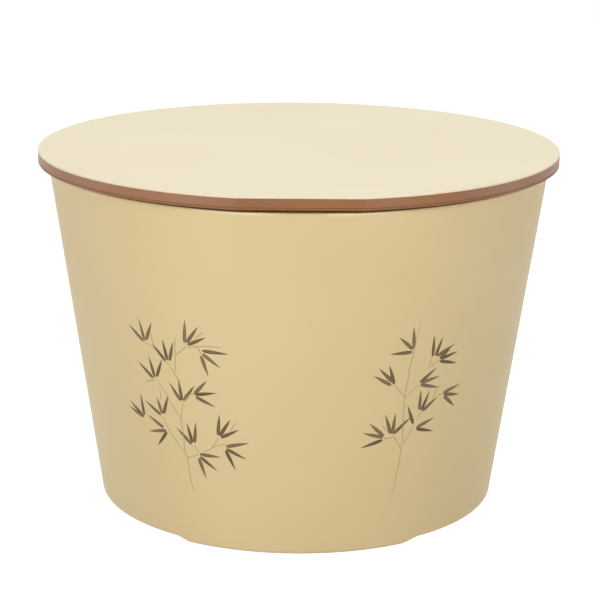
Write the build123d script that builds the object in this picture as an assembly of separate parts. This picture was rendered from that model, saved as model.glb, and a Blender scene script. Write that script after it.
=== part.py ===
from build123d import *
import os
from math import atan, cos, degrees, radians, sin

# Rice tub with a lift-off lid, in millimetres.
# The origin is on the tub's axis at floor level, +Z is up and -Y is the printed front,
# where the lid's round edge is cut straight.

# Tub, outer sizes
rim_height = 238.7
rim_diameter = 345.5  # of the wall's line at that height
base_diameter = 276.4  # where the wall's line meets the floor
rim_round = 0.8  # outer edge of the rim
rim_lean = 1.0  # how far the rim leans in from the wall's line
rim_lean_height = 2.0  # over this height
rim_lean_round = 4.0
base_round = 3.6  # lower edge of the wall, along the feet and between them

# Tub, wall build-up, measured level
shell_wall = 3.0
cavity = 9.0  # gap between shell and liner, filled with foam
liner_wall = 2.5
foam_clearance = 0.3  # foam to the faces beside it

# Feet and underside
foot_lift = 2.8  # how far the feet hold the rest of the base off the floor
foot_half_angle = 31.5  # degrees each side of front and back, at floor level
foot_ramp_length = 11.0  # how far a foot's sloping end runs along the wall
foot_width = 14.0  # of the ring that the feet are part of
foot_inner_round = 0.8
recess_depth = 5.0  # hollow of the underside inside the base ring
recess_round = 2.0
shell_floor = 3.0

# Liner
base_foam_thickness = 10.0
liner_floor = 2.5
floor_round = 22.0  # inside corner between floor and wall
mouth_round = 3.0
flange_thickness = 3.0
flange_gap = 0.15  # seam around the liner's flange
flange_root_round = 1.5
bead_rise = 2.6  # the lid rests on a bead round the mouth, this much above the rim
bead_width = 5.0  # from the mouth to the bead's outer face
bead_round = 0.5
ledge_width = 2.5  # seat for the flange inside the shell
ledge_height = 3.0

# Plugs that close the foam ports in the shell's floor
port_diameter = 14.0
port_offset = 62.0  # from the tub's axis, to each side
port_fit = 0.1
plug_head_diameter = 24.0
plug_head_thickness = 1.6
plug_head_chamfer = 0.6
plug_dimple_diameter = 8.0
plug_dimple_depth = 0.7

# Lid board
lid_overhang = 7.25  # how far the lid's round edge stands out past the rim
lid_flat_depth = 4.4  # how far the straight front edge is set back from the circle
top_sheet_thickness = 1.0
top_sheet_round = 0.6
band_height = 5.8
band_width = 9.0
bottom_sheet_thickness = 1.6
bottom_sheet_round = 0.5
seam_chamfer = 0.35  # makes the fine line between band and bottom sheet
core_clearance = 0.2
core_strip_width = 43.0
core_strip_gap = 0.1  # glue line

# Lid insert, which drops into the mouth and keeps the lid in place
insert_depth = 10.0
insert_wall = 1.5
insert_clearance = 2.5  # to the mouth
insert_edge_round = 3.0

overrun = 5.0  # how far a cutter runs past what it cuts

# Worked out from the above
rim_radius = rim_diameter / 2
base_radius = base_diameter / 2
lid_radius = rim_radius + lid_overhang
lid_flat_from_axis = lid_radius - lid_flat_depth
taper = (rim_radius - base_radius) / rim_height
recess_z = foot_lift + recess_depth
floor_z = recess_z + shell_floor
liner_base_z = floor_z + base_foam_thickness
liner_floor_z = liner_base_z + liner_floor
seat_z = rim_height + bead_rise
ledge_z = rim_height - flange_thickness
ledge_lip_z = ledge_z - ledge_height
ledge_root_z = ledge_lip_z - ledge_width  # the ledge's underside slopes at 45 degrees
ring_inner_radius = base_radius - foot_width
bottom_sheet_z = seat_z
band_z = bottom_sheet_z + bottom_sheet_thickness
top_sheet_z = band_z + band_height
lid_top_z = top_sheet_z + top_sheet_thickness
insert_z = seat_z - insert_depth


def shell_outside(z):
    """Radius of the outer wall at height z."""
    return base_radius + taper * z


def shell_inside(z):
    """Radius of the shell's inner face at height z."""
    return shell_outside(z) - shell_wall


def liner_outside(z):
    """Radius of the liner's hidden face at height z."""
    return shell_inside(z) - cavity


def liner_inside(z):
    """Radius of the hollow that holds the rice at height z."""
    return liner_outside(z) - liner_wall


# Inner edge of the ledge that carries the liner's flange
ledge_radius = shell_inside(ledge_z) - ledge_width


def rounded(face, point, radius):
    """The face with its corner nearest to point rounded."""
    corner = face.vertices().sort_by_distance(Vector(*point, 0))[0]
    return fillet(corner, radius)


def turned(points, rounds=(), start=0, angle=360):
    """A solid of revolution about Z from (radius, height) points.
    rounds holds (point, radius) pairs, and start and angle are in degrees from +X."""
    face = make_face(Polyline(*points, close=True))
    for point, radius in rounds:
        face = rounded(face, point, radius)
    upright = Rot(0, 0, start) * (Plane.XZ * face)
    return revolve(upright, axis=Axis.Z, revolution_arc=angle)


def side_gap(middle_angle):
    """The low space under the base between the two feet on one side, with sloping ends."""
    half_angle = 90 - foot_half_angle
    points = [
        (0, -overrun),
        (base_radius + overrun, -overrun),
        (base_radius + overrun, foot_lift),
        (0, foot_lift),
    ]
    gap = turned(points, start=middle_angle - half_angle, angle=2 * half_angle)
    slope = degrees(atan(foot_lift / foot_ramp_length))
    for side in (-1, 1):
        end_angle = radians(middle_angle + side * half_angle)
        level = Plane(origin=(0, 0, 0), x_dir=(cos(end_angle), sin(end_angle), 0), z_dir=(0, 0, 1))
        gap = split(gap, bisect_by=level.rotated((-side * slope, 0, 0)), keep=Keep.BOTTOM)
    return gap


def outer_shell():
    """The tapered casing with its foot ring, floor, ports and the ledge for the liner."""
    seat_radius = shell_inside(rim_height)
    lean_z = rim_height - rim_lean_height
    lean_corner = (shell_outside(lean_z), lean_z)
    rim_corner = (rim_radius - rim_lean, rim_height)
    ring_corner = (ring_inner_radius, 0)
    recess_corner = (ring_inner_radius, recess_z)
    points = [
        (0, recess_z),
        recess_corner,
        ring_corner,
        (base_radius, 0),
        lean_corner,
        rim_corner,
        (seat_radius, rim_height),
        (seat_radius, ledge_z),
        (ledge_radius, ledge_z),
        (ledge_radius, ledge_lip_z),
        (shell_inside(ledge_root_z), ledge_root_z),
        (shell_inside(floor_z), floor_z),
        (0, floor_z),
    ]
    rounds = [
        (lean_corner, rim_lean_round),
        (rim_corner, rim_round),
        (ring_corner, foot_inner_round),
        (recess_corner, recess_round),
    ]
    shell = turned(points, rounds)
    for middle_angle in (0, 180):
        shell = shell - side_gap(middle_angle)
    wall = shell.faces().filter_by(GeomType.CONE).sort_by(SortBy.AREA)[-1]
    shell = fillet(wall.edges().filter_by_position(Axis.Z, -overrun, recess_z), base_round)
    for place in port_places(recess_z - overrun):
        shell = shell - place * Cylinder(
            port_diameter / 2, shell_floor + 2 * overrun, align=(Align.CENTER, Align.CENTER, Align.MIN)
        )
    return shell


def port_places(z):
    """Where the two ports lie, at height z."""
    return [Pos(side * port_offset, 0, z) for side in (-1, 1)]


def inner_liner():
    """The bowl that holds the rice. Its flange closes the wall's cavity, level with the rim,
    and the bead round its mouth carries the lid."""
    mouth_corner = (liner_inside(seat_z), seat_z)
    floor_corner = (liner_inside(liner_floor_z), liner_floor_z)
    base_corner = (liner_outside(liner_base_z), liner_base_z)
    root_corner = (liner_outside(ledge_z), ledge_z)
    flange_radius = shell_inside(rim_height) - flange_gap
    bead_corner = (liner_inside(seat_z) + bead_width, seat_z)
    points = [
        (0, liner_base_z),
        base_corner,
        root_corner,
        (flange_radius, ledge_z),
        (flange_radius, rim_height),
        (liner_inside(seat_z) + bead_width, rim_height),
        bead_corner,
        mouth_corner,
        floor_corner,
        (0, liner_floor_z),
    ]
    rounds = [
        (base_corner, floor_round + liner_wall),
        (root_corner, flange_root_round),
        (bead_corner, bead_round),
        (mouth_corner, mouth_round),
        (floor_corner, floor_round),
    ]
    return turned(points, rounds)


def foam_fill():
    """The insulating foam between shell and liner, under the floor and up the wall to the flange."""
    root_z = ledge_root_z - foam_clearance
    top = ledge_z - foam_clearance
    top_corner = (liner_outside(top) + foam_clearance, top)
    base_corner = (liner_outside(liner_base_z) + foam_clearance, liner_base_z)
    points = [
        (0, floor_z),
        (shell_inside(floor_z) - foam_clearance, floor_z),
        (shell_inside(root_z) - foam_clearance, root_z),
        (ledge_radius - foam_clearance, ledge_lip_z - foam_clearance),
        (ledge_radius - foam_clearance, top),
        top_corner,
        base_corner,
        (0, liner_base_z),
    ]
    rounds = [
        (top_corner, flange_root_round),
        (base_corner, floor_round + liner_wall + foam_clearance),
    ]
    return turned(points, rounds)


def port_plugs():
    """The pair of press-in plugs under the floor, one in each port."""
    stem_radius = port_diameter / 2 - port_fit
    head_radius = plug_head_diameter / 2
    head_z = recess_z - plug_head_thickness
    top = floor_z - foam_clearance
    points = [
        (0, head_z + plug_dimple_depth),
        (plug_dimple_diameter / 2 - plug_dimple_depth, head_z + plug_dimple_depth),
        (plug_dimple_diameter / 2, head_z),
        (head_radius - plug_head_chamfer, head_z),
        (head_radius, head_z + plug_head_chamfer),
        (head_radius, recess_z),
        (stem_radius, recess_z),
        (stem_radius, top),
        (0, top),
    ]
    plug = turned(points)
    return Compound([place * plug for place in port_places(0)])


def lid_disc(radius, flat_from_axis, z, thickness):
    """A round plate whose front is cut straight at flat_from_axis from the axis."""
    cut = Rectangle(2 * radius, radius, align=(Align.CENTER, Align.MAX))
    outline = Circle(radius) - Pos(0, -flat_from_axis) * cut
    return extrude(Plane.XY.offset(z) * outline, thickness)


def lid_plate(z, thickness):
    """A plate of the lid's full outline."""
    return lid_disc(lid_radius, lid_flat_from_axis, z, thickness)


def edges_at(solid, z):
    """The outline edges of a plate's face at height z."""
    face = solid.faces().filter_by(Axis.Z).sort_by_distance(Vector(0, 0, z))[0]
    return face.outer_wire().edges()


def lid_top_sheet():
    """The cream sheet that forms the lid's top."""
    sheet = lid_plate(top_sheet_z, top_sheet_thickness)
    return fillet(edges_at(sheet, lid_top_z), top_sheet_round)


def lid_edge_band():
    """The brown frame around the core, with a chamfer where it meets the bottom sheet."""
    band = lid_plate(band_z, band_height)
    band = chamfer(edges_at(band, band_z), seam_chamfer)
    hole = lid_disc(
        lid_radius - band_width,
        lid_flat_from_axis - band_width,
        band_z - overrun,
        band_height + 2 * overrun,
    )
    return band - hole


def lid_bottom_sheet():
    """The brown sheet under the core, which rests on the liner's flange."""
    sheet = lid_plate(bottom_sheet_z, bottom_sheet_thickness)
    sheet = chamfer(edges_at(sheet, band_z), seam_chamfer)
    return fillet(edges_at(sheet, bottom_sheet_z), bottom_sheet_round)


def lid_core_strips():
    """The wood strips, glued side by side, that stiffen the lid inside the band."""
    inset = band_width + core_clearance
    core = lid_disc(lid_radius - inset, lid_flat_from_axis - inset, band_z, band_height)
    pitch = core_strip_width + core_strip_gap
    half_count = int(lid_radius // pitch) + 1
    strips = []
    for index in range(-half_count, half_count):
        middle = (index + 1 / 2) * pitch
        cutter = Pos(middle, 0, band_z) * Box(
            core_strip_width,
            2 * lid_radius,
            band_height + overrun,
            align=(Align.CENTER, Align.CENTER, Align.MIN),
        )
        strips += (core & cutter).solids()
    return Compound(strips)


def insert_outside(z):
    """Radius of the lid insert at height z, a steady clearance inside the mouth."""
    return liner_inside(z) - insert_clearance


def lid_insert_tray():
    """The shallow tray under the lid that drops into the mouth."""
    outer_corner = (insert_outside(insert_z), insert_z)
    inner_z = insert_z + insert_wall
    inner_corner = (insert_outside(inner_z) - insert_wall, inner_z)
    points = [
        (0, insert_z),
        outer_corner,
        (insert_outside(seat_z), seat_z),
        (insert_outside(seat_z) - insert_wall, seat_z),
        inner_corner,
        (0, inner_z),
    ]
    rounds = [
        (outer_corner, insert_edge_round),
        (inner_corner, insert_edge_round - insert_wall),
    ]
    return turned(points, rounds)


def lid_insert_foam():
    """The foam disc inside the tray."""
    inner_z = insert_z + insert_wall
    top = seat_z - foam_clearance
    corner = (insert_outside(inner_z) - insert_wall - foam_clearance, inner_z)
    points = [
        (0, inner_z),
        corner,
        (insert_outside(top) - insert_wall - foam_clearance, top),
        (0, top),
    ]
    return turned(points, [(corner, insert_edge_round - insert_wall)])


nodes = {
    "outer_shell": outer_shell,
    "inner_liner": inner_liner,
    "foam_fill": foam_fill,
    "port_plugs": port_plugs,
    "lid_top_sheet": lid_top_sheet,
    "lid_edge_band": lid_edge_band,
    "lid_bottom_sheet": lid_bottom_sheet,
    "lid_core_strips": lid_core_strips,
    "lid_insert_tray": lid_insert_tray,
    "lid_insert_foam": lid_insert_foam,
}

os.makedirs("parts", exist_ok=True)
for name, make in nodes.items():
    export_step(make(), f"parts/{name}.step")
    print(name)
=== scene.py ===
import math

import bpy
import numpy as np
from mathutils import Matrix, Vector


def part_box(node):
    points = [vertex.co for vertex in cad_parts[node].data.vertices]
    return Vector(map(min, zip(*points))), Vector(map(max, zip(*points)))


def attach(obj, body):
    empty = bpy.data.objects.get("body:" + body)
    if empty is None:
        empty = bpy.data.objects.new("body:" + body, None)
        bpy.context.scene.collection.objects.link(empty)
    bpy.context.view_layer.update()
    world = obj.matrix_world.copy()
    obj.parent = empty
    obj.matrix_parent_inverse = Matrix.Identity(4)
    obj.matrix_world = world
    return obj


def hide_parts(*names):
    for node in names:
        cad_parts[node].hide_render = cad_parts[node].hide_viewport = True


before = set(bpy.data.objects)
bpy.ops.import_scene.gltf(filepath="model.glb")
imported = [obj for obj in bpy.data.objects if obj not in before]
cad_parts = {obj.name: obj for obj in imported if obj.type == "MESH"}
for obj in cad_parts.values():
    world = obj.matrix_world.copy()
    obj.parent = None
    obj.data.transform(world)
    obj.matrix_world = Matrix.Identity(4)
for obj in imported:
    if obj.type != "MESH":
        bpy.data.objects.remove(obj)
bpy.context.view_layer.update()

# Insulated rice tub: a tapered, double-walled tub of moulded plastic on two low feet, with a
# printed sprig on each side of its front, closed by a flat lid board cut straight at the front.
# Blender's metres; the tub's axis is Z, the floor is z = 0 and the printed front faces -Y.

mm = 0.001

photoCamera = {
    "frameSize": 600,  # px, width and height of the photograph
    "elevation": 15.18,  # degrees above level
    "azimuth": -0.4,  # degrees round the tub from the front, less than zero is to its left
    "distance": 1.522,  # to the point on the axis that it looks at
    "targetHeight": 0.1243,  # of that point
    "focalLength": 2145.0,  # px
    "axisRight": -2.57,  # px, how far right of the frame's middle that point shows
    "axisDown": 19.3,  # px, how far below the middle it shows
    "roll": 0.0085,  # radians
    "sensorWidth": 36.0,  # mm
    "nearClip": 0.05,
    "farClip": 50.0,
}


def cameraAxes(settings):
    # The eye lies at the elevation and azimuth on a sphere about its target. Right is level,
    # up is right x forward, and both are then rolled about the line of sight.
    elevation = math.radians(settings["elevation"])
    azimuth = math.radians(settings["azimuth"])
    away = np.array([
        math.sin(azimuth) * math.cos(elevation),
        -math.cos(azimuth) * math.cos(elevation),
        math.sin(elevation),
    ])
    target = np.array([0.0, 0.0, settings["targetHeight"]])
    levelRight = np.array([math.cos(azimuth), math.sin(azimuth), 0.0])
    levelUp = np.cross(levelRight, -away)
    cosRoll = math.cos(settings["roll"])
    sinRoll = math.sin(settings["roll"])
    right = cosRoll * levelRight + sinRoll * levelUp
    up = cosRoll * levelUp - sinRoll * levelRight
    return target + settings["distance"] * away, right, up, -away


def facingMatrix(settings):
    # The columns are right, up, backwards and the eye's place.
    eye, right, up, forward = cameraAxes(settings)
    matrix = np.eye(4)
    matrix[:3, :4] = np.stack([right, up, -forward, eye], axis=1)
    return Matrix(matrix.tolist())


def makeCamera(settings):
    # The lens is the focal length in pixels times the sensor width over the frame width.
    data = bpy.data.cameras.new("photoCamera")
    data.sensor_fit = "HORIZONTAL"
    data.sensor_width = settings["sensorWidth"]
    data.lens = settings["focalLength"] * settings["sensorWidth"] / settings["frameSize"]
    data.shift_x = -settings["axisRight"] / settings["frameSize"]
    data.shift_y = settings["axisDown"] / settings["frameSize"]
    data.clip_start = settings["nearClip"]
    data.clip_end = settings["farClip"]
    camera = bpy.data.objects.new("photoCamera", data)
    camera.matrix_world = facingMatrix(settings)
    bpy.context.scene.collection.objects.link(camera)
    bpy.context.scene.camera = camera
    print("camera set")


makeCamera(photoCamera)


# Shapes shared by all pieces

def roundedProfile(corners, rounds, steps=6, margin=0.4 * mm, marginShare=0.3, closed=False):
    # Each corner of a polygon becomes an arc tangent to both sides. With h half the angle between
    # the sides, the arc starts radius / tan h from the corner and its centre lies radius / sin h
    # away on the bisector. One more point on each side of an arc keeps the flat faces flat: it lies
    # margin away, or marginShare of the free length where that is less.
    corners = np.asarray(corners, float)
    rounds = np.broadcast_to(np.asarray(rounds, float), corners.shape[:-1]).copy()
    if not closed:
        rounds[..., 0] = 0
        rounds[..., -1] = 0
    toNext = np.roll(corners, -1, axis=-2) - corners
    nextLength = np.linalg.norm(toNext, axis=-1, keepdims=True)
    towardsNext = toNext / nextLength
    towardsLast = -np.roll(towardsNext, 1, axis=-2)
    half = np.arccos(np.clip(np.sum(towardsNext * towardsLast, axis=-1), -1, 1)) / 2
    reach = (rounds / np.tan(half))[..., None]
    bisector = towardsNext + towardsLast
    bisector = bisector / np.linalg.norm(bisector, axis=-1, keepdims=True)
    centre = corners + bisector * (rounds / np.sin(half))[..., None]
    start = corners + towardsLast * reach
    end = corners + towardsNext * reach
    opening = (np.pi - 2 * half)[..., None]
    share = np.linspace(0, 1, steps + 1)
    fromStart = (np.sin((1 - share) * opening) / np.sin(opening))[..., None]
    fromEnd = (np.sin(share * opening) / np.sin(opening))[..., None]
    arcs = centre[..., None, :] + (start - centre)[..., None, :] * fromStart
    arcs = arcs + (end - centre)[..., None, :] * fromEnd
    free = nextLength - reach - np.roll(reach, -1, axis=-2)
    after = np.minimum(margin, marginShare * free)
    before = np.roll(after, 1, axis=-2)
    blocks = np.concatenate([
        (start + towardsLast * before)[..., None, :],
        arcs,
        (end + towardsNext * after)[..., None, :],
    ], axis=-2)
    if closed:
        return blocks.reshape(*corners.shape[:-2], -1, 2)
    inner = blocks[..., 1:-1, :, :].reshape(*corners.shape[:-2], -1, 2)
    return np.concatenate([corners[..., :1, :], inner, corners[..., -1:, :]], axis=-2)


def turnedGrid(profile, around):
    # A profile of (radius, height) points carried round the axis: at each angle from the front,
    # x = radius * sin(angle) and y = -radius * cos(angle). The profile may differ by angle.
    angle = np.linspace(0, 2 * np.pi, around, endpoint=False)[:, None]
    radius = profile[..., 0]
    height = profile[..., 1]
    x = radius * np.sin(angle)
    y = -radius * np.cos(angle)
    return np.stack([x, y, height + 0 * angle], axis=-1)


def surfacePiece(name, grid, firstPole=None, lastPole=None, closedAlong=False):
    # A grid of (copies, around, along, 3) points joined into quads, always closed round and round.
    # Each pole of (copies, 3) closes an end with a fan. Around x along points outwards.
    copies, around, along, _ = grid.shape
    index = np.arange(around * along).reshape(around, along)
    if closedAlong:
        index = np.concatenate([index, index[:, :1]], axis=1)
    beside = np.roll(index, -1, axis=0)
    quads = np.stack([index[:, :-1], beside[:, :-1], beside[:, 1:], index[:, 1:]], axis=-1)
    kinds = [quads.reshape(-1, 4)]
    points = [grid.reshape(copies, -1, 3)]
    count = around * along
    if firstPole is not None:
        kinds.append(np.stack([np.full(around, count), beside[:, 0], index[:, 0]], axis=-1))
        points.append(np.broadcast_to(firstPole, (copies, 3))[:, None])
        count += 1
    if lastPole is not None:
        kinds.append(np.stack([index[:, -1], beside[:, -1], np.full(around, count)], axis=-1))
        points.append(np.broadcast_to(lastPole, (copies, 3))[:, None])
        count += 1
    offset = (np.arange(copies) * count)[:, None, None]
    faces = sum([(kind[None] + offset).reshape(-1, kind.shape[1]).tolist() for kind in kinds], [])
    mesh = bpy.data.meshes.new(name)
    mesh.from_pydata(np.concatenate(points, axis=1).reshape(-1, 3).tolist(), [], faces)
    mesh.shade_smooth()
    piece = bpy.data.objects.new(name, mesh)
    bpy.context.scene.collection.objects.link(piece)
    return piece


def turnedPiece(name, profile, around, centre=(0.0, 0.0)):
    # A closed turned solid: the profile starts and ends on the axis, where the poles are.
    # It may be repeated at several centres.
    centres = np.atleast_2d(np.asarray(centre, float))
    shift = np.concatenate([centres, np.zeros((len(centres), 1))], axis=1)
    grid = turnedGrid(profile[..., 1:-1, :], around)[None] + shift[:, None, None]
    ends = profile.reshape(-1, profile.shape[-2], 2)[0]
    first = shift + [0, 0, ends[0, 1]]
    last = shift + [0, 0, ends[-1, 1]]
    return surfacePiece(name, grid, first, last)


def dress(piece, body, slot, material, *nodes):
    # Finish, carrier and the CAD nodes that the piece stands for.
    piece.data.materials.append(material)
    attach(piece, body)
    if nodes:
        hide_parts(*nodes)
    print(piece.name, "made,", len(piece.data.polygons), "faces")
    return piece


# Finishes

def linearColour(hexCode):
    # Each sRGB channel c becomes c / 12.92 below 0.04045 and ((c + 0.055) / 1.055) ^ 2.4 above.
    channels = np.array([int(hexCode[place:place + 2], 16) for place in (1, 3, 5)]) / 255
    linear = np.where(channels <= 0.04045, channels / 12.92, ((channels + 0.055) / 1.055) ** 2.4)
    return (*linear.tolist(), 1.0)


def addNode(tree, kind, inputs=None, **settings):
    # One node with its settings; an input is either a value or another node's output.
    node = tree.nodes.new(kind)
    for name, value in settings.items():
        setattr(node, name, value)
    for socket, value in (inputs or {}).items():
        if isinstance(value, bpy.types.NodeSocket):
            tree.links.new(value, node.inputs[socket])
        else:
            node.inputs[socket].default_value = value
    return node


def newMaterial(name):
    # A material with an empty node tree.
    material = bpy.data.materials.new(name)
    material.use_nodes = True
    material.node_tree.nodes.clear()
    return material, material.node_tree


def mouldedPlastic(name, look):
    # Injection-moulded or extruded thermoplastic. Long soft clouds of tone are flow from the gate.
    # The fine grain is the spark-eroded or rolled face, drawn coarser than it is so that it shows,
    # and it makes the sheen uneven too. Above the height polishFrom the mould is polished, and the
    # roughness falls by polish. Within edgeReach of a board's outline, by the attribute edgeDepth,
    # the colour turns to edgeShadeColour, painted shade on the edge's round.
    material, tree = newMaterial(name)
    place = addNode(tree, "ShaderNodeTexCoord").outputs["Object"]
    flow = addNode(tree, "ShaderNodeTexNoise", {
        "Vector": place, "Scale": 1 / look["flowSize"], "Detail": 2.0, "Roughness": 0.5,
    })
    flowShare = addNode(tree, "ShaderNodeMapRange", {
        "Value": flow.outputs["Fac"], "From Min": 0.3, "From Max": 0.7,
    })
    tone = addNode(tree, "ShaderNodeMix", {
        0: flowShare.outputs["Result"], 6: linearColour(look["colour"]), 7: linearColour(look["flowColour"]),
    }, data_type="RGBA")
    grain = addNode(tree, "ShaderNodeTexNoise", {
        "Vector": place, "Scale": 1 / look["grainSize"], "Detail": 3.0, "Roughness": 0.6,
    })
    sheen = addNode(tree, "ShaderNodeMapRange", {
        "Value": grain.outputs["Fac"], "From Min": 0.25, "From Max": 0.75,
        "To Min": look["roughness"] - look["roughnessSpread"],
        "To Max": look["roughness"] + look["roughnessSpread"],
    })
    bump = addNode(tree, "ShaderNodeBump", {
        "Height": grain.outputs["Fac"], "Strength": look["grainStrength"], "Distance": look["grainDepth"],
    })
    colour = tone.outputs[2]
    roughness = sheen.outputs["Result"]
    if "polish" in look:
        split = addNode(tree, "ShaderNodeSeparateXYZ", {"Vector": place})
        polish = addNode(tree, "ShaderNodeMapRange", {
            "Value": split.outputs["Z"], "From Min": look["polishFrom"], "From Max": look["polishFull"],
            "To Max": look["polish"],
        })
        polished = addNode(tree, "ShaderNodeMath", {
            0: roughness, 1: polish.outputs["Result"],
        }, operation="SUBTRACT")
        roughness = polished.outputs[0]
    if "edgeShadeColour" in look:
        depth = addNode(tree, "ShaderNodeAttribute", attribute_name="edgeDepth")
        edge = addNode(tree, "ShaderNodeMapRange", {
            "Value": depth.outputs["Fac"], "From Max": look["edgeReach"], "To Min": 1.0, "To Max": 0.0,
        }, interpolation_type="SMOOTHSTEP")
        edged = addNode(tree, "ShaderNodeMix", {
            0: edge.outputs["Result"], 6: colour, 7: linearColour(look["edgeShadeColour"]),
        }, data_type="RGBA")
        colour = edged.outputs[2]
    shader = addNode(tree, "ShaderNodeBsdfPrincipled", {
        "Base Color": colour, "Roughness": roughness, "Normal": bump.outputs["Normal"], "IOR": look["ior"],
    })
    addNode(tree, "ShaderNodeOutputMaterial", {"Surface": shader.outputs["BSDF"]})
    return material


# Polypropylene, satin from a finely eroded mould: an even tan with a broad, dull highlight.
tubLook = {
    "colour": "#d9c393", "flowColour": "#d5be8c", "flowSize": 140 * mm,
    "roughness": 0.5, "roughnessSpread": 0.05, "ior": 1.49,
    "grainSize": 0.7 * mm, "grainDepth": 0.03 * mm, "grainStrength": 0.5,
    "polishFrom": 236.0 * mm, "polishFull": 236.8 * mm, "polish": 0.22,  # on the leaning rim
}
# The same polypropylene in the paler food-side grade.
linerLook = {
    "colour": "#dcc99c", "flowColour": "#d8c495", "flowSize": 120 * mm,
    "roughness": 0.4, "roughnessSpread": 0.04, "ior": 1.49,
    "grainSize": 0.6 * mm, "grainDepth": 0.02 * mm, "grainStrength": 0.4,
}
# Polyethylene sheet with a matt rolled face, as on cutting boards: cream, soft sheen.
lidTopLook = {
    "colour": "#ebdfc0", "flowColour": "#e8dbba", "flowSize": 90 * mm,
    "roughness": 0.48, "roughnessSpread": 0.06, "ior": 1.52,
    "grainSize": 0.5 * mm, "grainDepth": 0.03 * mm, "grainStrength": 0.6,
    "edgeShadeColour": "#e3d3b0", "edgeReach": 0.9 * mm,  # painted shade: the cream turns a little deeper on the top edge's round
}
# Brown polyethylene, trimmed by a cutter, so a little glossier than the sheet.
lidEdgeLook = {
    "colour": "#925f36", "flowColour": "#895832", "flowSize": 60 * mm,
    "roughness": 0.4, "roughnessSpread": 0.05, "ior": 1.52,
    "grainSize": 0.5 * mm, "grainDepth": 0.02 * mm, "grainStrength": 0.5,
}
# The thin sheet below is painted a darker brown, as painted shade on the lid's lower edge and underside, so
# the seam reads as two browns.
lidUnderShadeLook = dict(lidEdgeLook, colour="#845429", flowColour="#7d4e26", roughness=0.5)

tubPlastic = mouldedPlastic("satinPolypropylene", tubLook)
linerPlastic = mouldedPlastic("foodPolypropylene", linerLook)
lidTopPlastic = mouldedPlastic("creamPolyethyleneSheet", lidTopLook)
lidEdgePlastic = mouldedPlastic("brownPolyethylene", lidEdgeLook)
lidUnderShadePlastic = mouldedPlastic("darkBrownPolyethylene", lidUnderShadeLook)


# Rigid polyurethane foam: pale yellow, matt, with the closed cells of a poured foam, drawn coarser
# than they are so that they show.
foamLook = {"colour": "#e8dcb4", "cellShadeColour": "#d8c998", "cellSize": 1.2 * mm, "cellDepth": 0.25 * mm}


def rigidFoam(name, look):
    # Cells are a Voronoi pattern: sunk at their middles, and darker there as painted shade in the hollows.
    material, tree = newMaterial(name)
    place = addNode(tree, "ShaderNodeTexCoord").outputs["Object"]
    cells = addNode(tree, "ShaderNodeTexVoronoi", {"Vector": place, "Scale": 1 / look["cellSize"]})
    tone = addNode(tree, "ShaderNodeMix", {
        0: cells.outputs["Distance"], 6: linearColour(look["cellShadeColour"]), 7: linearColour(look["colour"]),
    }, data_type="RGBA")
    bump = addNode(tree, "ShaderNodeBump", {
        "Height": cells.outputs["Distance"], "Strength": 0.8, "Distance": look["cellDepth"],
    })
    shader = addNode(tree, "ShaderNodeBsdfPrincipled", {
        "Base Color": tone.outputs[2], "Roughness": 0.9, "Normal": bump.outputs["Normal"],
    })
    addNode(tree, "ShaderNodeOutputMaterial", {"Surface": shader.outputs["BSDF"]})
    return material


# Paulownia strips, planed and unfinished: straight pale grain, each strip its own shade.
woodLook = {
    "early": "#cfae7c", "late": "#b08a58", "ringWidth": 4 * mm, "stripPitch": 43.1 * mm,
    "fibreSize": 0.6 * mm, "fibreDepth": 0.05 * mm,
    "wavePeriod": 0.32,  # a wave of scale 1 repeats after about this
    "lengthwiseShare": 0.06,  # the pattern is drawn out along the strips, to this share of its scale
    "ringShare": 0.6,  # tone of the rings against 1 for the strip's own shade
}


def planedWood(name, look):
    # Growth rings are waves across X, bent by slow noise along Y. The strip number, X over the
    # pitch rounded down, shifts the pattern and the shade so that no two strips match.
    material, tree = newMaterial(name)
    place = addNode(tree, "ShaderNodeTexCoord").outputs["Object"]
    split = addNode(tree, "ShaderNodeSeparateXYZ", {"Vector": place})
    strips = addNode(tree, "ShaderNodeMath", {
        0: split.outputs["X"], 1: look["stripPitch"],
    }, operation="DIVIDE")
    strip = addNode(tree, "ShaderNodeMath", {0: strips.outputs[0]}, operation="FLOOR")
    shade = addNode(tree, "ShaderNodeTexWhiteNoise", {"W": strip.outputs[0]}, noise_dimensions="1D")
    shifted = addNode(tree, "ShaderNodeCombineXYZ", {"Y": strip.outputs[0]})
    moved = addNode(tree, "ShaderNodeVectorMath", {0: place, 1: shifted.outputs[0]}, operation="ADD")
    stretched = addNode(tree, "ShaderNodeMapping", {
        "Vector": moved.outputs[0], "Scale": (1.0, look["lengthwiseShare"], 1.0),
    })
    rings = addNode(tree, "ShaderNodeTexWave", {
        "Vector": stretched.outputs[0], "Scale": look["wavePeriod"] / look["ringWidth"],
        "Distortion": 3.0, "Detail": 3.0, "Detail Scale": 1.2,
    }, wave_type="BANDS", bands_direction="X")
    fibre = addNode(tree, "ShaderNodeTexNoise", {
        "Vector": stretched.outputs[0], "Scale": 1 / look["fibreSize"], "Detail": 2.0,
    })
    grain = addNode(tree, "ShaderNodeMath", {
        0: rings.outputs["Fac"], 1: look["ringShare"], 2: shade.outputs["Value"],
    }, operation="MULTIPLY_ADD")
    share = addNode(tree, "ShaderNodeMapRange", {
        "Value": grain.outputs[0], "From Max": 1 + look["ringShare"],
    })
    tone = addNode(tree, "ShaderNodeMix", {
        0: share.outputs["Result"], 6: linearColour(look["early"]), 7: linearColour(look["late"]),
    }, data_type="RGBA")
    bump = addNode(tree, "ShaderNodeBump", {
        "Height": fibre.outputs["Fac"], "Strength": 0.6, "Distance": look["fibreDepth"],
    })
    shader = addNode(tree, "ShaderNodeBsdfPrincipled", {
        "Base Color": tone.outputs[2], "Roughness": 0.7, "Normal": bump.outputs["Normal"],
    })
    addNode(tree, "ShaderNodeOutputMaterial", {"Surface": shader.outputs["BSDF"]})
    return material


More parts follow.
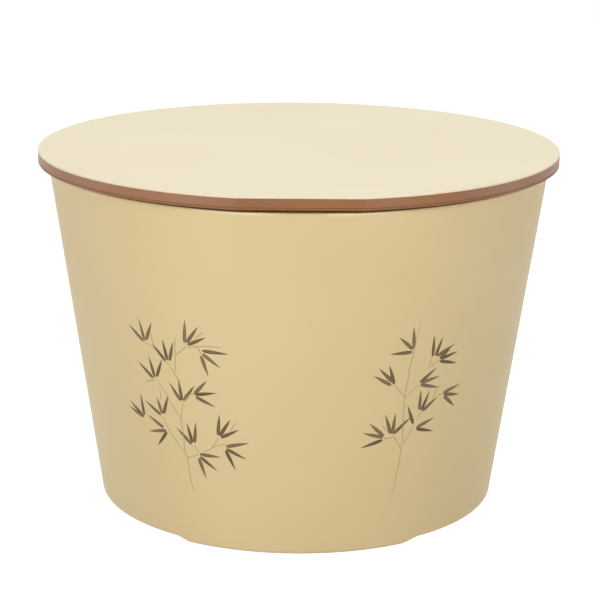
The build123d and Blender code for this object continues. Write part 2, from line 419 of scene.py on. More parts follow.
# Pad-printed ink, dull taupe: darker at a leaf's edge, thinner and lighter along its middle.
leafInkLook = {
    "dark": "#574223", "light": "#6b5635", "middle": "#87724c", "ribPower": 6.0,
    "roughness": 0.6, "speckSize": 0.5 * mm,
}
# The same ink in hair lines, which the pad lays down so thin that the tan shows through.
twigInkLook = {
    "dark": "#ab9068", "light": "#bda377", "middle": "#b3996f", "ribPower": 6.0,
    "roughness": 0.6, "speckSize": 0.6 * mm,
}


def printedInk(name, look):
    # The attribute inkPlace holds across (-1 to 1), along (0 to 1) and a tone of its own per stroke.
    # The middle is 1 - across ^ 2, raised to ribPower so that only the rib lightens.
    material, tree = newMaterial(name)
    stroke = addNode(tree, "ShaderNodeAttribute", attribute_name="inkPlace")
    split = addNode(tree, "ShaderNodeSeparateXYZ", {"Vector": stroke.outputs["Vector"]})
    place = addNode(tree, "ShaderNodeTexCoord").outputs["Object"]
    speck = addNode(tree, "ShaderNodeTexNoise", {
        "Vector": place, "Scale": 1 / look["speckSize"], "Detail": 2.0,
    })
    uneven = addNode(tree, "ShaderNodeMath", {
        0: speck.outputs["Fac"], 1: split.outputs["Z"],
    }, operation="MULTIPLY")
    body = addNode(tree, "ShaderNodeMix", {
        0: uneven.outputs[0], 6: linearColour(look["dark"]), 7: linearColour(look["light"]),
    }, data_type="RGBA")
    square = addNode(tree, "ShaderNodeMath", {
        0: split.outputs["X"], 1: split.outputs["X"],
    }, operation="MULTIPLY")
    inward = addNode(tree, "ShaderNodeMath", {0: 1.0, 1: square.outputs[0]}, operation="SUBTRACT")
    rib = addNode(tree, "ShaderNodeMath", {0: inward.outputs[0], 1: look["ribPower"]}, operation="POWER")
    ribShare = addNode(tree, "ShaderNodeMath", {
        0: rib.outputs[0], 1: split.outputs["Z"],
    }, operation="MULTIPLY")
    tone = addNode(tree, "ShaderNodeMix", {
        0: ribShare.outputs[0], 6: body.outputs[2], 7: linearColour(look["middle"]),
    }, data_type="RGBA")
    shader = addNode(tree, "ShaderNodeBsdfPrincipled", {
        "Base Color": tone.outputs[2], "Roughness": look["roughness"],
    })
    addNode(tree, "ShaderNodeOutputMaterial", {"Surface": shader.outputs["BSDF"]})
    return material


leafInk = printedInk("padPrintedLeafInk", leafInkLook)
twigInk = printedInk("padPrintedTwigInk", twigInkLook)
foam = rigidFoam("rigidPolyurethaneFoam", foamLook)
coreWood = planedWood("planedPaulownia", woodLook)
print("finishes made")


# Tub: shell, liner and plugs. Heights and radii in mm until the profile is scaled.

_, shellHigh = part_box("outer_shell")
tub = {
    "rimHeight": shellHigh.z / mm,
    "rimRadius": 172.75,
    "baseRadius": 138.2,  # where the wall's line meets the floor
    "rimRound": 0.8,
    "rimLeanHeight": 2.0,  # over this height the wall leans in to the rim
    "rimLean": 1.0,  # and by this much from its own line
    "rimLeanRound": 4.0,  # where it starts to lean
    "baseRound": 3.6,
    "wall": 3.0,
    "cavity": 9.0,
    "linerWall": 2.5,
    "footLift": 2.8,  # the base between the feet stands this far off the floor
    "footHalfAngle": 31.5,  # degrees each side of front and back
    "footRamp": 11.0,  # run of a foot's sloping end
    "rampEase": 1.35,
    "footWidth": 14.0,
    "footInnerRound": 0.8,
    "recessDepth": 5.0,
    "recessRound": 2.0,
    "floor": 3.0,
    "edgeRound": 0.3,  # broken edges
    "sharpAngle": 40.0,  # degrees, from which an edge still shows sharp once the ports are cut
    "around": 720,
}
tub["taper"] = (tub["rimRadius"] - tub["baseRadius"]) / tub["rimHeight"]
tub["slope"] = math.hypot(1, tub["taper"])  # length on the wall for each unit of height
tub["recessHeight"] = tub["footLift"] + tub["recessDepth"]
tub["floorHeight"] = tub["recessHeight"] + tub["floor"]

liner = {
    "baseFoam": 10.0,
    "floor": 2.5,
    "floorRound": 22.0,
    "mouthRound": 3.0,
    "flange": 3.0,
    "beadRise": 2.6,  # the lid rests on a bead round the mouth, this much above the rim
    "beadWidth": 5.0,
    "beadRound": 0.5,
    "flangeGap": 0.15,
    "flangeRootRound": 1.5,
    "edgeRound": 0.4,
    "ledgeWidth": 2.5,
    "ledgeHeight": 3.0,
    "around": 480,
}
liner["baseHeight"] = tub["floorHeight"] + liner["baseFoam"]
liner["floorHeight"] = liner["baseHeight"] + liner["floor"]
liner["seat"] = tub["rimHeight"] + liner["beadRise"]
liner["ledge"] = tub["rimHeight"] - liner["flange"]
liner["ledgeLip"] = liner["ledge"] - liner["ledgeHeight"]
liner["ledgeRoot"] = liner["ledgeLip"] - liner["ledgeWidth"]

plugs = {
    "portRadius": 7.0,
    "offset": 62.0,
    "fit": 0.1,
    "headRadius": 12.0,
    "headThickness": 1.6,
    "chamfer": 0.6,
    "dimpleRadius": 4.0,
    "dimpleDepth": 0.7,
    "foamClearance": 0.3,
    "edgeRound": 0.15,
    "edgeMargin": 0.15,  # from an edge's round to where the flat face starts
    "around": 96,
}
portCentres = [(side * plugs["offset"] * mm, 0) for side in (-1, 1)]


def wallRadius(height, inset=0.0):
    # The outer wall is a cone, radius = base + taper * height; inset is measured level from it.
    return tub["baseRadius"] + tub["taper"] * height - inset


def footLift(angle):
    # Zero under the feet at front and back, the full lift between them, and at each end
    # the smooth step s * s * (3 - 2 s), a little longer than the straight ramp that it stands for.
    fromFoot = np.degrees(np.arcsin(np.abs(np.sin(angle)))) - tub["footHalfAngle"]
    rampAngle = math.degrees(tub["footRamp"] / tub["baseRadius"])
    share = np.clip((fromFoot / rampAngle - 0.5) / tub["rampEase"] + 0.5, 0, 1)
    return tub["footLift"] * share * share * (3 - 2 * share)


def makeOuterShell():
    # Underside from the axis out, foot ring, wall, rim, ledge for the liner and the inside floor.
    # Only the foot ring's height depends on the angle.
    angle = np.linspace(0, 2 * np.pi, tub["around"], endpoint=False)
    lift = footLift(angle)
    ringInner = tub["baseRadius"] - tub["footWidth"]
    seatRadius = wallRadius(tub["rimHeight"], tub["wall"])
    ledgeRadius = wallRadius(liner["ledge"], tub["wall"]) - liner["ledgeWidth"]
    leanLow = tub["rimHeight"] - tub["rimLeanHeight"]
    outline = [
        (0, tub["recessHeight"], 0),
        (ringInner, tub["recessHeight"], tub["recessRound"]),
        (ringInner, lift, tub["footInnerRound"]),
        (wallRadius(lift), lift, tub["baseRound"]),
        (wallRadius(leanLow), leanLow, tub["rimLeanRound"]),
        (tub["rimRadius"] - tub["rimLean"], tub["rimHeight"], tub["rimRound"]),
        (seatRadius, tub["rimHeight"], tub["edgeRound"]),
        (seatRadius, liner["ledge"], tub["edgeRound"]),
        (ledgeRadius, liner["ledge"], tub["edgeRound"]),
        (ledgeRadius, liner["ledgeLip"], tub["edgeRound"]),
        (wallRadius(liner["ledgeRoot"], tub["wall"]), liner["ledgeRoot"], tub["edgeRound"]),
        (wallRadius(tub["floorHeight"], tub["wall"]), tub["floorHeight"], tub["edgeRound"]),
        (0, tub["floorHeight"], 0),
    ]
    corners = np.stack([
        np.stack([radius + 0 * angle, height + 0 * angle], axis=-1) for radius, height, _ in outline
    ], axis=1)
    rounds = [radius for _, _, radius in outline]
    profile = roundedProfile(corners * mm, np.array(rounds) * mm)
    return turnedPiece("outerShell", profile, tub["around"])


def cutPorts(shell):
    # Two round holes through the floor, cut by exact Boolean with closed rods.
    low = (tub["recessHeight"] - tub["floor"]) * mm
    high = (tub["floorHeight"] + tub["floor"]) * mm
    radius = plugs["portRadius"] * mm
    profile = np.array([(0, low), (radius, low), (radius, high), (0, high)])
    rods = turnedPiece("portRods", profile, plugs["around"], portCentres)
    cut = shell.modifiers.new("ports", "BOOLEAN")
    cut.object = rods
    cut.solver = "EXACT"
    graph = bpy.context.evaluated_depsgraph_get()
    holed = bpy.data.meshes.new_from_object(shell.evaluated_get(graph))
    shell.modifiers.clear()
    shell.data = holed
    holed.set_sharp_from_angle(angle=math.radians(tub["sharpAngle"]))
    bpy.data.objects.remove(rods)
    return shell


def makeInnerLiner():
    # Hidden face from the axis out and up to the flange, over flange and bead and down the bowl.
    inset = tub["wall"] + tub["cavity"]
    bowl = inset + tub["linerWall"]
    flangeRadius = wallRadius(tub["rimHeight"], tub["wall"]) - liner["flangeGap"]
    beadRadius = wallRadius(liner["seat"], bowl) + liner["beadWidth"]
    outline = [
        (0, liner["baseHeight"], 0),
        (wallRadius(liner["baseHeight"], inset), liner["baseHeight"], liner["floorRound"] + tub["linerWall"]),
        (wallRadius(liner["ledge"], inset), liner["ledge"], liner["flangeRootRound"]),
        (flangeRadius, liner["ledge"], liner["edgeRound"]),
        (flangeRadius, tub["rimHeight"], liner["edgeRound"]),
        (beadRadius, tub["rimHeight"], liner["edgeRound"]),
        (beadRadius, liner["seat"], liner["beadRound"]),
        (wallRadius(liner["seat"], bowl), liner["seat"], liner["mouthRound"]),
        (wallRadius(liner["floorHeight"], bowl), liner["floorHeight"], liner["floorRound"]),
        (0, liner["floorHeight"], 0),
    ]
    outline = np.array(outline) * mm
    profile = roundedProfile(outline[:, :2], outline[:, 2], steps=10)
    return turnedPiece("innerLiner", profile[None], liner["around"])


def makePortPlugs():
    # A dimpled head with a chamfer and a stem that fills the port, turned at both ports.
    headLow = tub["recessHeight"] - plugs["headThickness"]
    stem = plugs["portRadius"] - plugs["fit"]
    top = tub["floorHeight"] - plugs["foamClearance"]
    outline = np.array([
        (0, headLow + plugs["dimpleDepth"]),
        (plugs["dimpleRadius"] - plugs["dimpleDepth"], headLow + plugs["dimpleDepth"]),
        (plugs["dimpleRadius"], headLow),
        (plugs["headRadius"] - plugs["chamfer"], headLow),
        (plugs["headRadius"], headLow + plugs["chamfer"]),
        (plugs["headRadius"], tub["recessHeight"]),
        (stem, tub["recessHeight"]),
        (stem, top),
        (0, top),
    ]) * mm
    profile = roundedProfile(outline, plugs["edgeRound"] * mm, steps=3, margin=plugs["edgeMargin"] * mm)
    return turnedPiece("portPlugs", profile[None], plugs["around"], portCentres)


dress(cutPorts(makeOuterShell()), "tub", "tub_plastic", tubPlastic, "outer_shell")
dress(makeInnerLiner(), "tub", "liner_plastic", linerPlastic, "inner_liner")
dress(makePortPlugs(), "tub", "tub_plastic", tubPlastic, "port_plugs")


# Lid board: cream sheet, brown band and brown bottom sheet, all of one outline, and the insert.

boardLow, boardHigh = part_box("lid_top_sheet")
lid = {
    "radius": boardHigh.x / mm,
    "flat": -boardLow.y / mm,  # the straight front edge, from the axis
    "top": boardHigh.z / mm,
    "topSheet": 1.0,
    "topRound": 0.6,
    "bandHeight": 5.8,
    "bandWidth": 9.0,
    "bottomSheet": 1.6,
    "bottomRound": 0.25,
    "seamChamfer": 0.18,
    "edgeRound": 0.1,
    "flatMargin": 2.0,  # from the edge to where the flat faces start
    "arcPoints": 640,
    "flatPoints": 24,
    "arcCornerShare": 0.0004,  # how near to a corner its guard points lie, of the arc's length
    "flatCornerShare": 0.0056,  # and of the straight front's
}
lid["topSheetHeight"] = lid["top"] - lid["topSheet"]
lid["bandLow"] = lid["topSheetHeight"] - lid["bandHeight"]
lid["low"] = lid["bandLow"] - lid["bottomSheet"]

insert = {
    "depth": 10.0,
    "wall": 1.5,
    "clearance": 2.5,
    "edgeRound": 3.0,
    "rimRound": 0.3,
    "around": 480,
}


def guardedShares(count, guard):
    # Even shares from 0 up to 1, with one more close to each end so that the corner stays crisp.
    return np.concatenate([[0, guard], np.linspace(0, 1, count)[1:-1], [1 - guard]])


def lidGrid(profile):
    # The lid's outline, inset by each profile point: an arc of radius R - inset from the right
    # corner round the back to the left one, then the straight front at distance D - inset.
    # A corner lies where cos(angle) = (D - inset) / (R - inset), angles from the front.
    inset = profile[:, 0]
    radius = lid["radius"] * mm - inset
    flat = lid["flat"] * mm - inset
    corner = np.arccos(flat / radius)
    arcShare = guardedShares(lid["arcPoints"], lid["arcCornerShare"])[:, None]
    angle = corner + arcShare * (2 * np.pi - 2 * corner)
    flatShare = guardedShares(lid["flatPoints"], lid["flatCornerShare"])[:, None]
    halfFlat = radius * np.sin(corner)
    x = np.concatenate([radius * np.sin(angle), halfFlat * (2 * flatShare - 1)])
    y = np.concatenate([-radius * np.cos(angle), -flat + 0 * flatShare])
    return np.stack([x, y, profile[:, 1] + 0 * x], axis=-1)[None]


def lidPlate(name, outline):
    # A plate from its (inset, height, round) outline, with a fan to the middle of each face.
    # The attribute edgeDepth keeps how far each point lies in from the outline, the fans' two
    # middles last.
    outline = np.array(outline) * mm
    profile = roundedProfile(outline[:, :2], outline[:, 2])
    low = (0, 0, outline[0, 1])
    high = (0, 0, outline[-1, 1])
    grid = lidGrid(profile)
    piece = surfacePiece(name, grid, low, high)
    depth = np.full(len(piece.data.vertices), lid["flat"] * mm)
    depth[:-2] = np.tile(profile[:, 0], grid.shape[1])
    attribute = piece.data.attributes.new("edgeDepth", "FLOAT", "POINT")
    attribute.data.foreach_set("value", depth)
    return piece


def makeTopSheet():
    # Square below, where it is glued to the band, and rounded above.
    return lidPlate("lidTopSheet", [
        (lid["flatMargin"], lid["topSheetHeight"], 0),
        (0, lid["topSheetHeight"], lid["edgeRound"]),
        (0, lid["top"], lid["topRound"]),
        (lid["flatMargin"], lid["top"], 0),
    ])


def makeBottomSheet():
    # Rounded below, chamfered above for half of the seam's groove.
    return lidPlate("lidBottomSheet", [
        (lid["flatMargin"], lid["low"], 0),
        (0, lid["low"], lid["bottomRound"]),
        (0, lid["bandLow"] - lid["seamChamfer"], lid["edgeRound"]),
        (lid["seamChamfer"], lid["bandLow"], lid["edgeRound"]),
        (lid["flatMargin"], lid["bandLow"], 0),
    ])


def makeEdgeBand():
    # A closed frame: chamfered foot for the other half of the groove, outside, top and inner face.
    outline = np.array([
        (lid["bandWidth"], lid["bandLow"]),
        (lid["seamChamfer"], lid["bandLow"]),
        (0, lid["bandLow"] + lid["seamChamfer"]),
        (0, lid["topSheetHeight"]),
        (lid["bandWidth"], lid["topSheetHeight"]),
    ]) * mm
    profile = roundedProfile(outline, lid["edgeRound"] * mm, steps=3, closed=True)
    return surfacePiece("lidEdgeBand", lidGrid(profile), closedAlong=True)


def makeInsertTray():
    # The tray's wall follows the bowl's mouth, its clearance inside it.
    inset = tub["wall"] + tub["cavity"] + tub["linerWall"] + insert["clearance"]
    low = lid["low"] - insert["depth"]
    inside = low + insert["wall"]
    outline = np.array([
        (0, low, 0),
        (wallRadius(low, inset), low, insert["edgeRound"]),
        (wallRadius(lid["low"], inset), lid["low"], insert["rimRound"]),
        (wallRadius(lid["low"], inset) - insert["wall"], lid["low"], insert["rimRound"]),
        (wallRadius(inside, inset) - insert["wall"], inside, insert["edgeRound"] - insert["wall"]),
        (0, inside, 0),
    ]) * mm
    profile = roundedProfile(outline[:, :2], outline[:, 2])
    return turnedPiece("lidInsertTray", profile[None], insert["around"])


dress(makeTopSheet(), "lid", "lid_top_plastic", lidTopPlastic, "lid_top_sheet")
dress(makeEdgeBand(), "lid", "lid_edge_plastic", lidEdgePlastic, "lid_edge_band")
dress(makeBottomSheet(), "lid", "lid_edge_plastic", lidUnderShadePlastic, "lid_bottom_sheet")
dress(makeInsertTray(), "lid", "liner_plastic", linerPlastic, "lid_insert_tray")

for node, material in (("foam_fill", foam), ("lid_insert_foam", foam), ("lid_core_strips", coreWood)):
    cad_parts[node].material_slots[0].material = material
    print(node, "finished")


# Printed sprigs. Leaves and twigs are read on crops of the photograph, enlarged from the corner
# given, so a reading over the enlargement plus the corner is a place in the 600 px frame.

sprigPrint = {
    "enlargement": 7.84,
    "tipReach": 0.03,  # a tip fades before it ends, so a leaf runs on by this share
    "baseReach": 0.01,  # and by this one at its base, where the leaves of a tuft meet
    "inkHeight": 0.05 * mm,  # drawn thicker than real ink so that it stands clear of the wall
    "inkRoot": 0.03 * mm,  # and is rooted in it
    "edgeShare": 0.35,
    "leafWidth": 2.5 * mm,  # at its widest, the same for every leaf of the motif
    "twigWidth": 0.62 * mm,
    "leafRings": 18,
    "ringPower": 1.25,  # above 1 a leaf's rings crowd towards its base
    "capShare": 0.06,  # of a leaf's length, its round base
    "baseShare": 0.62,  # of its greatest width, where the swell starts
    "widestShare": 0.26,  # of its length, from the base to its widest place
    "taperPower": 0.9,
    "twigRings": 10,  # on each span between two readings
    "twigEndPower": 6,
    "seed": 5,
}

# Each leaf is its blunt base and its tip.
leftSprig = {
    "corner": (100, 300),
    "leaves": [
        ((340, 322), (228, 192)), ((350, 318), (303, 148)), ((362, 312), (403, 178)),
        ((515, 478), (409, 343)), ((527, 470), (489, 312)), ((545, 475), (570, 332)),
        ((418, 612), (302, 482)), ((430, 605), (383, 444)), ((445, 600), (484, 468)),
        ((662, 335), (663, 157)), ((678, 335), (767, 211)), ((688, 352), (826, 296)),
        ((802, 400), (1004, 426)), ((803, 423), (940, 533)), ((791, 437), (848, 598)),
        ((632, 790), (543, 646)), ((642, 785), (614, 620)), ((655, 790), (738, 676)),
        ((738, 738), (835, 636)), ((748, 742), (909, 731)), ((750, 760), (900, 838)),
        ((345, 912), (238, 787)), ((340, 915), (235, 831)), ((348, 900), (318, 735)),
        ((478, 900), (356, 788)), ((487, 890), (446, 762)), ((500, 890), (532, 753)),
        ((500, 1000), (378, 901)), ((520, 1022), (390, 1027)), ((525, 1035), (457, 1137)),
        ((718, 1130), (603, 1001)), ((725, 1118), (681, 967)), ((742, 1118), (750, 961)),
        ((925, 1060), (935, 904)), ((940, 1065), (1020, 941)), ((948, 1080), (1087, 1020)),
        ((988, 1150), (1165, 1123)), ((990, 1168), (1144, 1249)), ((985, 1180), (1062, 1332)),
        ((783, 1210), (945, 1233)), ((785, 1230), (918, 1337)), ((775, 1240), (833, 1395)),
    ],
    "twigs": [
        [(740, 1520), (712, 1400), (685, 1240), (665, 1180), (655, 1060), (637, 930), (645, 850), (652, 795)],
        [(635, 925), (550, 800), (525, 740), (435, 612)],
        [(670, 1210), (600, 1105), (545, 1025), (490, 905)],
        [(520, 480), (565, 550), (612, 625), (628, 690)],
        [(590, 570), (588, 430), (585, 290)],
        [(590, 435), (680, 362)],
        [(688, 374), (760, 366), (860, 365), (960, 376)],
        [(760, 366), (795, 430)],
        [(360, 634), (435, 628)],
        [(340, 325), (410, 365), (430, 395)],
        [(400, 260), (415, 345)],
        [(470, 690), (474, 740), (480, 775)],
        [(685, 1238), (775, 1213)],
        [(775, 1205), (740, 1130)],
        [(810, 1190), (870, 1165), (930, 1080)],
        [(870, 1165), (925, 1140), (985, 1132)],
        [(1015, 1030), (1070, 962)],
        [(740, 300), (815, 252)],
        [(655, 800), (700, 745), (738, 740)],
    ],
}
rightSprig = {
    "corner": (340, 300),
    "leaves": [
        ((580, 375), (581, 215)), ((572, 387), (469, 295)), ((564, 409), (394, 427)),
        ((728, 440), (741, 281)), ((750, 438), (808, 287)), ((763, 437), (898, 346)),
        ((783, 455), (862, 386)), ((790, 460), (919, 404)), ((782, 478), (912, 492)),
        ((400, 668), (266, 597)), ((412, 642), (310, 541)), ((425, 660), (389, 516)),
        ((626, 648), (755, 533)), ((640, 648), (779, 596)), ((631, 664), (773, 684)),
        ((810, 725), (938, 658)), ((815, 738), (930, 737)), ((815, 753), (893, 829)),
        ((622, 862), (635, 707)), ((638, 864), (702, 715)), ((647, 870), (760, 758)),
        ((573, 970), (532, 832)),
        ((597, 1000), (737, 920)), ((598, 1010), (724, 1025)),
        ((398, 1048), (357, 904)), ((412, 1048), (435, 890)), ((420, 1048), (552, 920)),
        ((342, 1068), (233, 971)), ((335, 1078), (182, 1046)), ((332, 1098), (164, 1160)),
    ],
    "twigs": [
        [(410, 1530), (450, 1330), (480, 1160), (492, 1050), (505, 780), (530, 640), (550, 520), (575, 425),
         (605, 290), (643, 157)],
        [(510, 770), (495, 745), (422, 662)],
        [(512, 770), (620, 660)],
        [(475, 1160), (410, 1055)],
        [(340, 1087), (410, 1080)],
        [(495, 1135), (575, 985)],
        [(600, 935), (640, 870)],
        [(725, 765), (785, 655)],
        [(765, 745), (810, 735)],
        [(695, 530), (725, 440)],
        [(695, 530), (785, 465)],
        [(330, 980), (385, 1045)],
    ],
}


def wallPlace(readings, sprig):
    # Where the line of sight through each reading meets the outer wall, as its angle from the
    # front and its height. On the ray eye + t * sight the cone's equation is a quadratic in t,
    # and the nearer root is kept.
    eye, right, up, forward = cameraAxes(photoCamera)
    middle = photoCamera["frameSize"] / 2
    pixel = np.asarray(readings, float) / sprigPrint["enlargement"] + sprig["corner"]
    across = (pixel[..., 0] - middle - photoCamera["axisRight"]) / photoCamera["focalLength"]
    down = (pixel[..., 1] - middle - photoCamera["axisDown"]) / photoCamera["focalLength"]
    sight = forward + across[..., None] * right - down[..., None] * up
    taper = tub["taper"]
    eyeRadius = wallRadius(0) * mm + taper * eye[2]
    square = sight[..., 0] ** 2 + sight[..., 1] ** 2 - (taper * sight[..., 2]) ** 2
    linear = eye[0] * sight[..., 0] + eye[1] * sight[..., 1] - taper * sight[..., 2] * eyeRadius
    constant = eye[0] ** 2 + eye[1] ** 2 - eyeRadius ** 2
    along = (-linear - np.sqrt(linear ** 2 - square * constant)) / square
    point = eye + along[..., None] * sight
    return np.arctan2(point[..., 0], -point[..., 1]), point[..., 2]


def inkGrid(angle, height, acrossX, acrossY, halfWidth):
    # A stroke's middle line at (angle, height), with a flat section laid on the wall: the offsets
    # go acrossX round the wall and acrossY up it, and the outer face stands off by the ink's height.
    # Sections run edge, top, edge, underside, so that around x along points off the wall.
    shares = np.array([-1, -0.85, -0.4, 0, 0.4, 0.85, 1, 0.5, -0.5])
    high = sprigPrint["inkHeight"]
    low = sprigPrint["edgeShare"] * high
    root = -sprigPrint["inkRoot"]
    stand = np.array([low, high, high, high, high, high, low, root, root])
    offset = halfWidth[:, None, :] * shares[None, :, None]
    radius = wallRadius(height / mm)[:, None, :] * mm
    turn = angle[:, None, :] + offset * acrossX[:, None, :] / radius
    rise = height[:, None, :] + offset * acrossY[:, None, :] / tub["slope"]
    outward = stand[None, :, None] / tub["slope"]
    reach = wallRadius(rise / mm) * mm + outward
    rise = rise - tub["taper"] * outward
    return np.stack([reach * np.sin(turn), -reach * np.cos(turn), rise], axis=-1), shares


def inkPiece(name, ink, angle, height, acrossX, acrossY, halfWidth):
    # One mesh of closed strokes, each with its own tone, carried in the attribute inkPlace. The
    # outer face's middle at a stroke's two ends gives the poles.
    sections, shares = inkGrid(angle, height, acrossX, acrossY, halfWidth)
    middle = sections[:, 3]
    grid = sections[:, :, 1:-1]
    piece = surfacePiece(name, grid, middle[:, 0], middle[:, -1])
    copies, around, along, _ = grid.shape
    tone = np.random.default_rng(sprigPrint["seed"]).random(copies)
    values = np.zeros((copies, around * along + 2, 3))
    values[:, :-2, 0] = np.repeat(shares, along)
    values[:, :-2, 1] = np.tile(np.linspace(0, 1, along), around)
    values[:, -1, 1] = 1
    values[:, :, 2] = tone[:, None]
    attribute = piece.data.attributes.new("inkPlace", "FLOAT_VECTOR", "POINT")
    attribute.data.foreach_set("vector", values.ravel())
    return dress(piece, "tub", "tub_plastic", ink)


def leafShape(share):
    # Width along a leaf, base to tip, over its greatest: a round cap, a quarter sine up to the
    # widest place, then a quarter cosine, raised to taperPower, down to a fine tip.
    widest = sprigPrint["widestShare"]
    base = sprigPrint["baseShare"]
    cap = np.sqrt(1 - (1 - np.clip(share / sprigPrint["capShare"], 0, 1)) ** 2)
    swell = base + (1 - base) * np.sin(np.pi / 2 * np.clip(share / widest, 0, 1))
    taper = np.cos(np.pi / 2 * np.clip((share - widest) / (1 - widest), 0, 1))
    return cap * swell * taper ** sprigPrint["taperPower"]


def makeLeaves(name, sprig):
    # Every leaf is straight on the unrolled wall, from its base to its tip, and its sections are
    # square to that line.
    ends = np.array(sprig["leaves"], float)
    run = ends[:, 1] - ends[:, 0]
    ends[:, 0] -= sprigPrint["baseReach"] * run
    ends[:, 1] += sprigPrint["tipReach"] * run
    angle, height = wallPlace(ends, sprig)
    radius = wallRadius(height[:, :1] / mm) * mm
    runX = (angle[:, 1:] - angle[:, :1]) * radius
    runY = (height[:, 1:] - height[:, :1]) * tub["slope"]
    length = np.hypot(runX, runY)
    share = np.linspace(0, 1, sprigPrint["leafRings"] + 2) ** sprigPrint["ringPower"]
    middleAngle = angle[:, :1] + share * (angle[:, 1:] - angle[:, :1])
    middleHeight = height[:, :1] + share * (height[:, 1:] - height[:, :1])
    halfWidth = leafShape(share) * sprigPrint["leafWidth"] / 2 + 0 * middleAngle
    sideX = runY / length + 0 * middleAngle
    sideY = -runX / length + 0 * middleAngle
    return inkPiece(name, leafInk, middleAngle, middleHeight, sideX, sideY, halfWidth)


def smoothPath(points, rings):
    # Catmull-Rom through the readings: on each span, four readings weighted by cubics of the share.
    points = np.asarray(points, float)
    extended = np.concatenate([2 * points[:1] - points[1:2], points, 2 * points[-1:] - points[-2:-1]])
    t = np.linspace(0, 1, rings, endpoint=False)[None, :, None]
    p0, p1, p2, p3 = (extended[step:len(extended) - 3 + step, None] for step in range(4))
    spans = p1 + 0.5 * t * (p2 - p0 + t * (2 * p0 - 5 * p1 + 4 * p2 - p3 + t * (3 * (p1 - p2) + p3 - p0)))
    return np.concatenate([spans.reshape(-1, 2), points[-1:]])


def makeTwigs(name, sprig):
    # Each twig is resampled to the same number of rings. With s from 0 to 1 along it, its width
    # falls at both ends by the square root of 1 - (2 s - 1) ^ twigEndPower.
    rings = sprigPrint["twigRings"] * max(len(twig) for twig in sprig["twigs"])
    even = np.linspace(0, 1, rings)
    paths = []
    for twig in sprig["twigs"]:
        path = smoothPath(twig, sprigPrint["twigRings"])
        steps = np.linspace(0, 1, len(path))
        paths.append(np.stack([np.interp(even, steps, path[:, axis]) for axis in (0, 1)], axis=-1))
    angle, height = wallPlace(np.array(paths), sprig)
    radius = wallRadius(height / mm) * mm
    runX = np.gradient(angle, axis=1) * radius
    runY = np.gradient(height, axis=1) * tub["slope"]
    length = np.hypot(runX, runY)
    ends = np.sqrt(1 - (2 * even - 1) ** sprigPrint["twigEndPower"])
    halfWidth = sprigPrint["twigWidth"] / 2 * ends + 0 * angle
    return inkPiece(name, twigInk, angle, height, runY / length, -runX / length, halfWidth)


makeLeaves("leftSprigLeaves", leftSprig)
makeTwigs("leftSprigTwigs", leftSprig)
makeLeaves("rightSprigLeaves", rightSprig)
makeTwigs("rightSprigTwigs", rightSprig)


# Studio: a white table in a white tent. Two wide strip lamps, one each side of the camera and a
# little above it, are the main light. Small panels level with the tub brighten its sides and the
# lid's edge, a broad lamp overhead lights the lid, and the table sends a little light up.

studio = {
    "floorSize": 12.0,
    "floorColour": "#a0a09e",
    "floorGlow": 0.95,  # the table's own light as seen and mirrored, so that it shows white
    "floorLight": 0.26,  # and as it falls on the tub
    "surround": 0.05,  # light from all round
}
lamps = {
    "leftStrip": {
        "azimuth": -29, "elevation": 22, "distance": 2.0, "width": 1.0, "height": 0.16, "power": 13.6,
    },
    "rightStrip": {
        "azimuth": 29, "elevation": 22, "distance": 2.0, "width": 1.0, "height": 0.16, "power": 12.5,
    },
    "leftPanel": {
        "azimuth": -46, "elevation": 0, "distance": 1.2, "width": 0.6, "height": 0.22, "power": 1.8,
    },
    "rightPanel": {
        "azimuth": 38, "elevation": 0, "distance": 1.2, "width": 0.3, "height": 0.22, "power": 0.6,
    },
    "leftSide": {
        "azimuth": -88, "elevation": 0, "distance": 1.3, "width": 0.5, "height": 0.22, "power": 0.9,
    },
    "rightSide": {
        "azimuth": 85, "elevation": 0, "distance": 1.3, "width": 0.5, "height": 0.22, "power": 1.2,
    },
    "topSoftbox": {
        "azimuth": 180, "elevation": 78, "distance": 1.9, "width": 1.6, "height": 1.6, "power": 27.6,
    },
}


def showsWhite(tree):
    # The greatest of three: 1 for the camera's rays, reflections and rays through a material, and 0
    # for light that falls on things.
    rays = addNode(tree, "ShaderNodeLightPath").outputs
    seen = addNode(tree, "ShaderNodeMath", {
        0: rays["Is Camera Ray"], 1: rays["Is Glossy Ray"],
    }, operation="MAXIMUM")
    both = addNode(tree, "ShaderNodeMath", {
        0: seen.outputs[0], 1: rays["Is Transmission Ray"],
    }, operation="MAXIMUM")
    return both.outputs[0]


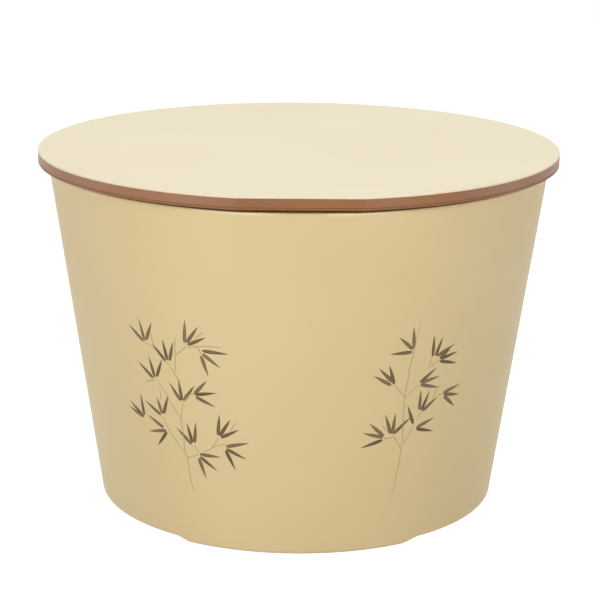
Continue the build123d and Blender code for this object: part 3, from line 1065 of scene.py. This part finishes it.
def makeFloor():
    # Diffuse paint that keeps the shadow, plus the table's glow.
    half = studio["floorSize"] / 2
    mesh = bpy.data.meshes.new("studioFloor")
    corners = [(-half, -half, 0), (half, -half, 0), (half, half, 0), (-half, half, 0)]
    mesh.from_pydata(corners, [], [(0, 1, 2, 3)])
    floor = bpy.data.objects.new("studioFloor", mesh)
    bpy.context.scene.collection.objects.link(floor)
    material, tree = newMaterial("studioFloorPaint")
    glow = addNode(tree, "ShaderNodeMapRange", {
        "Value": showsWhite(tree), "To Min": studio["floorLight"], "To Max": studio["floorGlow"],
    })
    emission = addNode(tree, "ShaderNodeEmission", {"Strength": glow.outputs["Result"]})
    paint = addNode(tree, "ShaderNodeBsdfDiffuse", {"Color": linearColour(studio["floorColour"])})
    both = addNode(tree, "ShaderNodeAddShader", {0: paint.outputs[0], 1: emission.outputs[0]})
    addNode(tree, "ShaderNodeOutputMaterial", {"Surface": both.outputs[0]})
    mesh.materials.append(material)


def makeSurround():
    # Even dim light from the world, which is seen as plain white.
    world = bpy.data.worlds.new("studioSurround")
    bpy.context.scene.world = world
    world.use_nodes = True
    tree = world.node_tree
    tree.nodes.clear()
    white = (1.0, 1.0, 1.0, 1.0)
    light = addNode(tree, "ShaderNodeBackground", {"Color": white, "Strength": studio["surround"]})
    plain = addNode(tree, "ShaderNodeBackground", {"Color": white, "Strength": 1.0})
    mixed = addNode(tree, "ShaderNodeMixShader", {
        0: showsWhite(tree), 1: light.outputs[0], 2: plain.outputs[0],
    })
    addNode(tree, "ShaderNodeOutputWorld", {"Surface": mixed.outputs[0]})


def makeLamp(name, lamp):
    # An area lamp on a sphere about the point that the camera looks at, facing it.
    data = bpy.data.lights.new(name, "AREA")
    data.shape = "RECTANGLE"
    data.size = lamp["width"]
    data.size_y = lamp["height"]
    data.energy = lamp["power"]
    light = bpy.data.objects.new(name, data)
    light.matrix_world = facingMatrix({**photoCamera, **lamp, "roll": 0})
    bpy.context.scene.collection.objects.link(light)


makeFloor()
makeSurround()
for name, lamp in lamps.items():
    makeLamp(name, lamp)
bpy.context.scene.view_settings.view_transform = "Standard"
print("studio lit")
